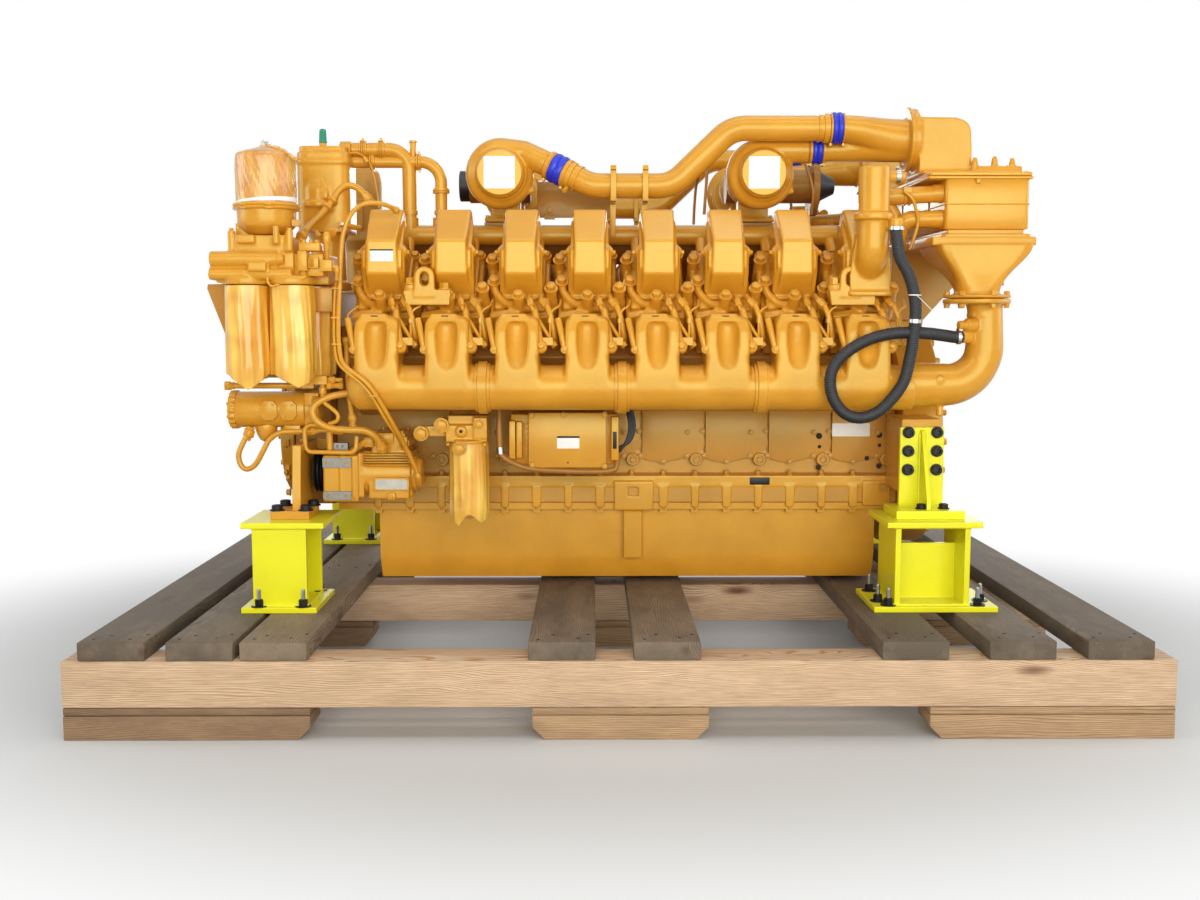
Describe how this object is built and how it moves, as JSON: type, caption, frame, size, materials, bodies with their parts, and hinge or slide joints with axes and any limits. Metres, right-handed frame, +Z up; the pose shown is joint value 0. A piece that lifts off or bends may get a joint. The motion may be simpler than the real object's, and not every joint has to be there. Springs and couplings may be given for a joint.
{
  "type": "diesel engine",
  "caption": "Large vee diesel engine with turbochargers, outer intake manifolds and an end charge cooler, held by steel stands on a timber shipping skid.",
  "frame": {"origin": "middle of the timber skid's footprint, at floor level", "axes": "+X along the crankshaft towards the flywheel and the charge cooler, +Y across the engine away from the bank with the filters, +Z up"},
  "size_m": [3.52, 2.44, 2.089],
  "materials": {
    "engine_enamel": "gloss amber enamel over cast iron and cast aluminium",
    "cover_enamel": "gloss amber enamel over pressed and cast covers",
    "stand_enamel": "lemon yellow enamel over welded steel plate",
    "fresh_timber": "sawn pine",
    "weathered_timber": "sawn boards, weathered grey-brown",
    "hot_casting": "cast iron, amber overspray, slightly rusted",
    "silicone_sleeve": "blue silicone hose sleeve",
    "black_plastic": "moulded black plastic",
    "corrugated_hose": "corrugated black hose",
    "bare_steel": "machined steel",
    "wrapped_canister": "amber enamel under wrinkled packing film",
    "pulley_black": "black enamel"
  },
  "bodies": {
    "root": {"skid_runners": "weathered_timber", "skid_beams": "fresh_timber", "skid_deck_boards": "weathered_timber", "stand_front_left": "stand_enamel", "stand_front_right": "stand_enamel", "stand_rear_left": "stand_enamel", "stand_rear_right": "stand_enamel", "foot_brackets_right": "stand_enamel", "engine_feet_left": "engine_enamel", "oil_pan": "engine_enamel", "crankcase": "engine_enamel", "crankcase_covers_front": "engine_enamel", "crankcase_covers_rear": "engine_enamel", "cylinder_heads_front": "engine_enamel", "cylinder_heads_rear": "engine_enamel", "rocker_covers_front": "cover_enamel", "rocker_covers_rear": "cover_enamel", "lifting_eyes": "engine_enamel", "intake_manifold_front": "engine_enamel", "intake_manifold_rear": "engine_enamel", "intake_risers": "engine_enamel", "cooler_funnels": "engine_enamel", "charge_cooler": "engine_enamel", "cooler_support": "engine_enamel", "inlet_plenum_front": "engine_enamel", "inlet_plenum_rear": "engine_enamel", "turbocharger_front_left": "engine_enamel", "turbocharger_front_right": "engine_enamel", "turbocharger_rear_left": "engine_enamel", "turbocharger_rear_right": "engine_enamel", "charge_pipe_front": "engine_enamel", "charge_pipe_rear": "engine_enamel", "charge_couplings": "silicone_sleeve", "exhaust_manifolds": "hot_casting", "exhaust_collector": "hot_casting", "exhaust_cap": "black_plastic", "coolant_galleries": "engine_enamel", "coolant_risers": "engine_enamel", "cooler_coolant_pipes": "engine_enamel", "thermostat_housing": "engine_enamel", "thermostat_housing_rear": "engine_enamel", "coolant_crossover_pipes": "engine_enamel", "gear_case": "engine_enamel", "crank_damper": "engine_enamel", "flywheel_housing": "engine_enamel", "flywheel": "bare_steel", "oil_filter_head": "engine_enamel", "oil_filters": "wrapped_canister", "centrifugal_filter": "wrapped_canister", "fuel_pump": "engine_enamel", "air_compressor": "engine_enamel", "compressor_pulley": "pulley_black", "fuel_filter_head": "engine_enamel", "fuel_filter": "wrapped_canister", "engine_control_unit": "engine_enamel", "vent_hose": "corrugated_hose"}
  },
  "joints": []
}
